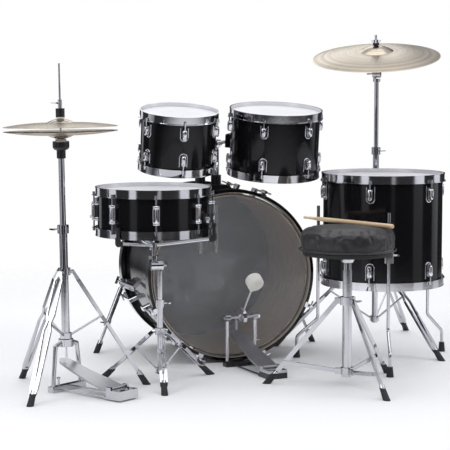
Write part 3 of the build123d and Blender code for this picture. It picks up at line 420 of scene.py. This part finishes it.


# leather-like vinyl: small rounded cells, gloss that varies a little in soft patches
def vinyl():
    mat = newMaterial("blackVinyl", (0.012, 0.012, 0.013), 0.0, 0.42, Sheen_Weight=0.05)
    coords = localCoords(mat)
    cells = addNode(mat, "TexVoronoi", {"Vector": coords, "Scale": 520.0}, feature="F1").outputs[0]
    grain = calc(mat, "ADD", calc(mat, "MULTIPLY", cells, 0.7), noise(mat, coords, 240.0, 3.0))
    drive(mat, "Roughness", blended(mat, noise(mat, coords, 16.0, 5.0), 0.3, 0.5))
    drive(mat, "Base Color", mixed(mat, noise(mat, coords, 40.0, 4.0), (0.010, 0.010, 0.011),
                                   (0.022, 0.022, 0.024)))
    bump(mat, grain, 0.0004, 0.55)
    return mat


def plainLook(name, look, scale=60.0, depth=0.0002, spread=0.25):
    colour, metal, rough = look
    mat = newMaterial(name, colour, metal, rough)
    coords = localCoords(mat)
    fine, broad = noise(mat, coords, scale * 6, 3.0), noise(mat, coords, scale * 0.4, 4.0)
    dark, light = tuple(c * (1 - spread) for c in colour), tuple(c * (1 + spread) for c in colour)
    drive(mat, "Base Color", mixed(mat, broad, dark, light))
    drive(mat, "Roughness", blended(mat, broad, rough * 0.8, min(1.0, rough * 1.2)))
    bump(mat, fine, depth, 0.6)
    return mat


# lacquered pale wood: long fibres along the stick's own axis
def stickWood():
    mat = newMaterial("paleWood", (0.72, 0.54, 0.34), 0.0, 0.38, Coat_Weight=0.25)
    low, high = (np.array(c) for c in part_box("drumstick"))
    way = unit((low[0] - high[0], high[1] - low[1], 0))
    local = localCoords(mat, middle("drumstick"), turnTo(way), (1.0, 1.0, 22.0))
    fibre = noise(mat, local, 260.0, 5.0, 0.6)
    drive(mat, "Base Color", mixed(mat, step(mat, fibre, 0.3, 0.75), (0.62, 0.43, 0.24),
                                   (0.80, 0.63, 0.42)))
    bump(mat, fibre, 0.0002, 0.4)
    return mat


hatLook = {"foot": (-0.635, -0.294), "bellTop": 0.850}
hatWay = jointAxis("hihat_height")


# point on the hi-hat's own axis, so far up from the floor
def hatPoint(up):
    return fromLayout(*hatLook["foot"], 0.0) + hatWay * up


# hi-hat seat and clutch: moulded black body, white felts
def hatFittings(mat):
    local = localCoords(mat, hatPoint(0.0), turnTo(hatWay))
    up = xyz(mat, local)[2]
    seat = between(mat, up, 0.727, 0.7795)
    felt = between(mat, up, 0.7812, 0.80)
    return [(seat, blackMetalLook), (felt, feltLook)]


def clutchFittings(mat):
    local = localCoords(mat, hatPoint(hatLook["bellTop"]), turnTo(hatWay))
    up = xyz(mat, local)[2]
    return [(between(mat, up, 0.001, 0.033), blackMetalLook),
            (between(mat, up, 0.001, 0.006), feltLook),
            (between(mat, up, -0.008, -0.0014), feltLook)]


def crashFittings(mat):
    local = localCoords(mat, jointAt("crash_sway"), turnTo(crashWay()))
    up = xyz(mat, local)[2]
    wide = step(mat, radiusOf(mat, local), 0.0042, 0.0046)
    felts = [between(mat, up, -0.012, -0.001), between(mat, up, 0.0025, 0.013)]
    return [(calc(mat, "MULTIPLY", felt, wide), darkFeltLook) for felt in felts]


# rubber sleeves on the basket's arms, away from its middle
def basketGrips(mat):
    local = localCoords(mat, fromLayout(-0.345, -0.268, 0.5))
    return [(step(mat, radiusOf(mat, local), 0.176, 0.178), rubberLook)]


def seatBoard(mat):
    local = localCoords(mat, jointAt("throne_swivel"))
    return [(step(mat, radiusOf(mat, local), 0.030, 0.0305), ((0.02, 0.02, 0.02), 0.0, 0.7))]


def pedalBase(mat):
    return [(heightMask(mat, -1.0, 0.0185), blackMetalLook)]


def leanTurn(lean):
    t = math.radians(lean)
    return turnTo((0.0, -math.sin(t), math.cos(t)))


drums = {
    "tom_left": {"lean": 9.6, "radius": 0.127, "first": -97, "lugs": 6},
    "tom_right": {"lean": 7.6, "radius": 0.1524, "first": -122.5, "lugs": 6},
    "floor_tom": {"lean": 0.0, "radius": 0.2032, "first": -124, "lugs": 6},
    "snare": {"lean": 0.0, "radius": 0.1778, "first": -102, "lugs": 8},
}


def paint(node, material):
    nodes[node].data.materials.clear()
    nodes[node].data.materials.append(material)


def dressFrame():
    plain, satin = chrome(), chrome("satinChrome", satin=True)
    feet = chrome("chromeAndRubber", rubberFeet, satin=True)
    for name in nodes:
        paint(name, plain)
    for name in ("hihat_stand_base", "snare_stand_base", "crash_stand_base", "floor_tom_leg_1",
                 "floor_tom_leg_2", "floor_tom_leg_3", "throne_leg_1", "throne_leg_2",
                 "throne_leg_3", "bass_spur_left", "bass_spur_right"):
        paint(name, feet)
    for name in ("throne_brace_1", "throne_brace_2", "throne_brace_3", "throne_base_tube"):
        paint(name, satin)
    gloss = wrap("glossWrap")
    for name, drum in drums.items():
        paint(name + "_shell", gloss)
        paint(name + "_heads", coatedFilm(name + "Film", name + "_shell", drum["lean"]))
    paint("bass_shell", bassWrap())
    paint("bass_hoops", hoopLacquer())
    paint("bass_batter_head", clearFilm())
    paint("bass_front_head", darkFilm())
    blackMetal = plainLook("blackMetal", blackMetalLook)
    paint("tom_mount", blackMetal)
    paint("throne_yoke", satin)
    paint("pedal_frame", chrome("pedalFrame", pedalBase, satin=True))
    paint("hihat_pedal_frame", chrome("greyFrame", satin=True))
    paint("hihat_upper_tube", chrome("hatTube", hatFittings))
    paint("hihat_clutch", chrome("hatClutch", clutchFittings))
    paint("crash_tilter", chrome("crashTilter", crashFittings))
    paint("snare_basket", chrome("basket", basketGrips))
    paint("throne_seat_bracket", chrome("seatBracket", seatBoard))
    cast = plainLook("castSilver", ((0.42, 0.42, 0.44), 1.0, 0.36))
    for name in ("pedal_footboard", "hihat_footboard"):
        paint(name, cast)
    paint("pedal_beater", plainLook("whiteFelt", feltLook, 90.0, 0.0006, 0.1))
    paint("drumstick", stickWood())
    crashTurn = turnTo(crashWay())
    paint("crash_cymbal", bronze("crashBronze", middle("crash_cymbal"), crashTurn, 0.062, 0.2286))
    for node, name in (("hihat_top_cymbal", "topHatBronze"), ("hihat_bottom_cymbal", "lowHatBronze")):
        paint(node, bronze(name, middle(node), turnTo(hatWay), 0.042, 0.1778))
    print("frame dressed")


# the crash leans about its tilt axis: its own axis is square to the tilt axis and 13.3 degrees off upright
def crashWay():
    axis = jointAxis("crash_tilt")
    level = unit(np.cross(axis, (0, 0, 1.0)))
    lean = math.radians(13.3)
    return unit(np.array((0, 0, 1.0)) * math.cos(lean) + level * math.sin(lean))


# lugs: a domed pod with a rounded-square outline (a superellipse that shrinks as it rises), and a
# round wire bent round its far end
def lugPod(width, height, reach, taper, steps=28, rises=9):
    a = np.linspace(0, 2 * math.pi, steps, endpoint=False)
    t = np.linspace(0, math.pi / 2, rises)[:, None]
    c, s = np.cos(a)[None], np.sin(a)[None]
    across = np.sign(c) * np.abs(c) ** 0.55 * width / 2
    along = np.sign(s) * np.abs(s) ** 0.55 * height / 2
    narrow = 1 - taper * (along / height + 0.5)
    shrink = np.cos(t) ** 0.35
    out = np.repeat(reach * np.sin(t) ** 0.8, steps, axis=1)
    top = np.stack([out, across * narrow * shrink, along * shrink], axis=-1)
    foot = top[:1] + [-0.003, 0, 0]
    return np.concatenate([np.repeat(foot.mean(1, keepdims=True), steps, axis=1), foot, top])


# U-shaped wire round a lug: straight sides and a half circle past the end
def lugWire(width, height, radius, out, bend=13):
    half = width / 2
    a = np.linspace(math.pi, 2 * math.pi, bend)
    arch = np.stack([np.full(bend, out), half * np.cos(a), half * np.sin(a) - height / 2 + half], axis=1)
    left, right = arch[0].copy(), arch[-1].copy()
    left[2] = right[2] = height / 2
    return bar(np.concatenate([left[None], arch, right[None]]), radius, 8)


# snare lug: two posts between end blocks
def postLug(width, height, reach):
    grids = []
    for side in (-1, 1):
        y = side * width * 0.36
        grids.append(bar([(reach * 0.62, y, -height / 2), (reach * 0.62, y, 0),
                          (reach * 0.62, y, height / 2)], 0.0027, 12))
    for end in (-1, 1):
        pod = lugPod(width, height * 0.2, reach * 1.12, 0.0)
        pod[..., 2] += end * height * 0.42
        grids.append(pod)
    grids.append(lugPod(width * 0.42, height * 0.96, reach * 1.08, 0.0))
    return grids


lugLooks = {
    "tom_left": {"depth": 0.1778, "top": 0.042, "core": 0.034,
        "wide": 0.0155, "reach": 0.0172, "wire": 0.0255},
    "tom_right": {"depth": 0.2032, "top": 0.042, "core": 0.034,
        "wide": 0.0155, "reach": 0.0172, "wire": 0.0255},
    "floor_tom": {"depth": 0.3556, "top": 0.042, "core": 0.042,
        "wide": 0.0165, "reach": 0.0172, "wire": 0.028},
    "snare": {"depth": 0.127, "top": 0.048, "core": 0.058,
        "wide": 0.024, "reach": 0.0165, "wire": 0.0},
}
rimToShell = 0.0136


def dressLugs(plain):
    for name, look in lugLooks.items():
        drum = drums[name]
        turn, centre = leanTurn(drum["lean"]), middle(name + "_shell")
        total = look["depth"] + 2 * rimToShell
        grids = []
        for k in range(drum["lugs"]):
            outward = turn @ spin(drum["first"] + 360 * k / drum["lugs"])
            ends = (0,) if name == "snare" else (1, -1)
            for end in ends:
                height = end * (total / 2 - look["top"] - look["core"] / 2)
                flip = np.diag([1, 1, end if end else 1.0])
                if name == "snare":
                    parts = postLug(look["wide"], look["core"] * 1.03, look["reach"])
                else:
                    pod = lugPod(look["wide"], look["core"] * 1.06, look["reach"], -0.22)
                    wire = lugWire(look["wire"], look["core"] * 1.3, 0.0017, 0.0012)
                    parts = [pod, wire]
                for points in parts:
                    local = points @ flip.T + [drum["radius"], 0, height]
                    grids.append((placed(local, outward, centre), True))
        body = bodyOf[name + "_shell"]
        meshFromGrids(name.replace("_", "") + "Lugs", grids, plain, body, 50)
    print("lugs dressed")


seatLook = {"voxel": 0.005, "pressure": 4.0, "cap": 0.006, "inset": 0.006, "crown": 0.006,
            "piping": 0.0022, "weltUp": 0.006, "weltOut": 0.001}


# seat outline: flat underneath, upright side with rounded edges, and a low dome on top
def seatOutline(radius, low, high, crown):
    edge, lip = 0.018, 0.010
    a = np.linspace(-math.pi / 2, 0, 7)[:, None]
    under = np.hstack([radius - lip + lip * np.cos(a), low + lip + lip * np.sin(a)])
    b = np.linspace(0, math.pi / 2, 9)[:, None]
    over = np.hstack([radius - edge + edge * np.cos(b), high - crown - edge + edge * np.sin(b)])
    r = np.linspace(radius - edge, 0, 12)[1:, None]
    dome = np.hstack([r, high - crown * (r / (radius - edge)) ** 2])
    return np.concatenate([[[0, low]], under, over, dome])


# cushion blown up a little from inside by cloth pressure, each point held within the cap
def inflated(piece, look):
    scene = bpy.context.scene
    remesh = piece.modifiers.new("voxels", "REMESH")
    remesh.mode, remesh.voxel_size = "VOXEL", look["voxel"]
    graph = bpy.context.evaluated_depsgraph_get()
    shape = bpy.data.meshes.new_from_object(piece.evaluated_get(graph))
    material = piece.data.materials[0]
    piece.modifiers.clear()
    piece.data = shape
    if not shape.materials:
        shape.materials.append(material)
    before = np.zeros(len(shape.vertices) * 3)
    shape.vertices.foreach_get("co", before)
    cloth = piece.modifiers.new("air", "CLOTH")
    cloth.settings.use_pressure = True
    cloth.settings.uniform_pressure_force = look["pressure"]
    cloth.settings.effector_weights.gravity = 0.0
    for number in range(1, 21):
        scene.frame_set(number)
    graph = bpy.context.evaluated_depsgraph_get()
    blown = bpy.data.meshes.new_from_object(piece.evaluated_get(graph))
    after = np.zeros(len(blown.vertices) * 3)
    blown.vertices.foreach_get("co", after)
    piece.modifiers.clear()
    scene.frame_set(1)
    move = (after - before).reshape(-1, 3)
    length = np.linalg.norm(move, axis=1, keepdims=True)
    move *= np.minimum(1.0, look["cap"] / np.maximum(length, 1e-9))
    shape.vertices.foreach_set("co", (before + move.ravel()).astype(np.float32))
    shape.update()


def throneSeat():
    low, high = (np.array(c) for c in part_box("throne_cushion"))
    centre = (low + high) / 2
    radius = (high[0] - low[0]) / 2 - seatLook["inset"]
    outline = seatOutline(radius, low[2] + 0.001, high[2] - 0.002, seatLook["crown"])
    grid = lathe(outline, 96) + [centre[0], centre[1], 0]
    cushion = meshFromGrids("seatCushion", [(grid, True)], vinyl(), "throne_seat", 80)
    inflated(cushion, seatLook)
    cushion.data.shade_smooth()
    smooth = cushion.modifiers.new("smooth", "SUBSURF")
    smooth.levels = smooth.render_levels = 1
    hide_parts("throne_cushion")
    # welt cord sewn where the side panel meets the bottom
    a = np.linspace(0, 2 * math.pi, 120, endpoint=False)
    r, at = radius + seatLook["weltOut"], low[2] + seatLook["weltUp"]
    ring = np.stack([centre[0] + r * np.cos(a), centre[1] + r * np.sin(a), np.full(120, at)], axis=1)
    welt = bar(ring, seatLook["piping"], 10, closed=True)
    meshFromGrids("seatPiping", [(welt, True)], bpy.data.materials["blackVinyl"], "throne_seat",
                  80)
    print("seat made")


springLook = {"turns": 17, "radius": 0.0046, "wire": 0.00085}


# return spring: a helix between its two eyes
def pedalSpring(plain):
    low, high = (np.array(c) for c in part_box("pedal_spring"))
    centre = (low + high) / 2
    t = np.linspace(0, 1, springLook["turns"] * 14)
    a = t * springLook["turns"] * 2 * math.pi
    r = springLook["radius"]
    path = np.stack([centre[0] + r * np.cos(a), centre[1] + r * np.sin(a),
                     low[2] + 0.001 + t * (high[2] - low[2] - 0.002)], axis=1)
    spring = meshFromGrids("returnSpring", [(bar(path, springLook["wire"], 8), True)], plain, "kit",
                           80)
    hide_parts("pedal_spring")
    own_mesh(spring)


cameraPlan = {"place": (-1.6264, -5.0366, 1.012), "level": (0.2924, 0.9563), "dip": 5.66,
              "focal": 128.0}


def addCamera():
    from mathutils import Vector
    data = bpy.data.cameras.new("camera")
    camera = bpy.data.objects.new("camera", data)
    bpy.context.scene.collection.objects.link(camera)
    dip = math.radians(cameraPlan["dip"])
    x, y = cameraPlan["level"]
    way = Vector((x * math.cos(dip), y * math.cos(dip), -math.sin(dip)))
    camera.location = cameraPlan["place"]
    camera.rotation_euler = way.to_track_quat("-Z", "Y").to_euler()
    data.lens = cameraPlan["focal"]
    data.sensor_width = 36.0
    data.clip_end = 100.0
    bpy.context.scene.camera = camera


lightPlan = {
    "left": {"at": (-3.6, -1.6, 2.6), "size": (0.9, 2.8), "power": 30.0},
    "right": {"at": (3.6, -1.4, 2.4), "size": (0.8, 2.6), "power": 26.0},
    "front": {"at": (-1.2, -4.4, 4.6), "size": (3.4, 2.2), "power": 46.0},
    "top": {"at": (0.0, 0.2, 4.4), "size": (4.2, 3.6), "power": 62.0},
    "back": {"at": (0.6, 3.8, 3.0), "size": (3.2, 1.6), "power": 26.0},
}


def addLights():
    from mathutils import Vector
    aim = Vector((0.0, 0.0, 0.55))
    for name, plan in lightPlan.items():
        data = bpy.data.lights.new(name, "AREA")
        data.shape = "RECTANGLE"
        data.size, data.size_y = plan["size"]
        data.energy = plan["power"]
        light = bpy.data.objects.new(name, data)
        bpy.context.scene.collection.objects.link(light)
        light.location = plan["at"]
        light.rotation_euler = (aim - light.location).to_track_quat("-Z", "Y").to_euler()


worldPlan = {"seen": 1.0, "dark": 0.035, "panel": 1.1, "overhead": 0.85, "panels": 7.0,
             "tint": (0.93, 0.94, 1.0)}


# studio all round: white for the eye; for the metal a dark room with upright bright panels
# (a sine of the compass angle, cut to bands) that end above eye height, and a bright overhead
def addWorld():
    world = bpy.data.worlds.new("studio")
    bpy.context.scene.world = world
    world.use_nodes = True
    parts = xyz(world, addNode(world, "TexCoord").outputs["Generated"])
    turn = calc(world, "ARCTAN2", parts[1], parts[0])
    bands = calc(world, "SINE", calc(world, "MULTIPLY_ADD", turn, worldPlan["panels"], 0.4))
    slow = calc(world, "SINE", calc(world, "MULTIPLY_ADD", turn, 2.0, 2.1))
    sides = calc(world, "ADD", bands, calc(world, "MULTIPLY", slow, 0.5))
    panels = calc(world, "MULTIPLY", step(world, sides, 0.35, 0.75), step(world, parts[2], -0.25, 0.0))
    level = blendedTo(world, panels, worldPlan["dark"], worldPlan["panel"])
    overhead = step(world, parts[2], 0.42, 0.75)
    mirrored = blendedTo(world, overhead, level, worldPlan["overhead"])
    shown = addNode(world, "LightPath").outputs["Is Camera Ray"]
    strength = blendedTo(world, shown, mirrored, worldPlan["seen"])
    back = world.node_tree.nodes["Background"]
    back.inputs["Color"].default_value = (*worldPlan["tint"], 1.0)
    white = mixed(world, shown, worldPlan["tint"], (1.0, 1.0, 1.0))
    world.node_tree.links.new(white, back.inputs["Color"])
    world.node_tree.links.new(strength, back.inputs["Strength"])
    view = bpy.context.scene.view_settings
    view.view_transform, view.look, view.exposure = "Standard", "None", 0.0


floorPlan = {"radius": 3.4, "full": 1.5, "colour": 0.96}


# round pale floor that thins out to nothing towards its rim, so no edge shows
def addFloor():
    disc = lathe([(0.0, 0.0), (floorPlan["radius"], 0.0)], 96)
    data = bpy.data.meshes.new("floor")
    rim = disc[1].copy()
    rim[:, 2] = -0.0005
    data.from_pydata(rim, [], [tuple(range(len(rim)))])
    floor = bpy.data.objects.new("floor", data)
    bpy.context.scene.collection.objects.link(floor)
    tone = floorPlan["colour"]
    mat = newMaterial("paleFloor", (tone, tone, tone), 0.0, 0.6, Specular_IOR_Level=0.2)
    coords = localCoords(mat)
    drive(mat, "Base Color", mixed(mat, noise(mat, coords, 1.5), (tone - 0.01,) * 3, (tone + 0.01,) * 3))
    gone = step(mat, radiusOf(mat, coords), floorPlan["full"], floorPlan["radius"] - 0.1)
    drive(mat, "Alpha", calc(mat, "SUBTRACT", 1.0, gone))
    data.materials.append(mat)


addCamera()
addLights()
addWorld()
addFloor()
dressFrame()
plainChrome = bpy.data.materials["chrome"]
dressLugs(plainChrome)
throneSeat()
pedalSpring(plainChrome)
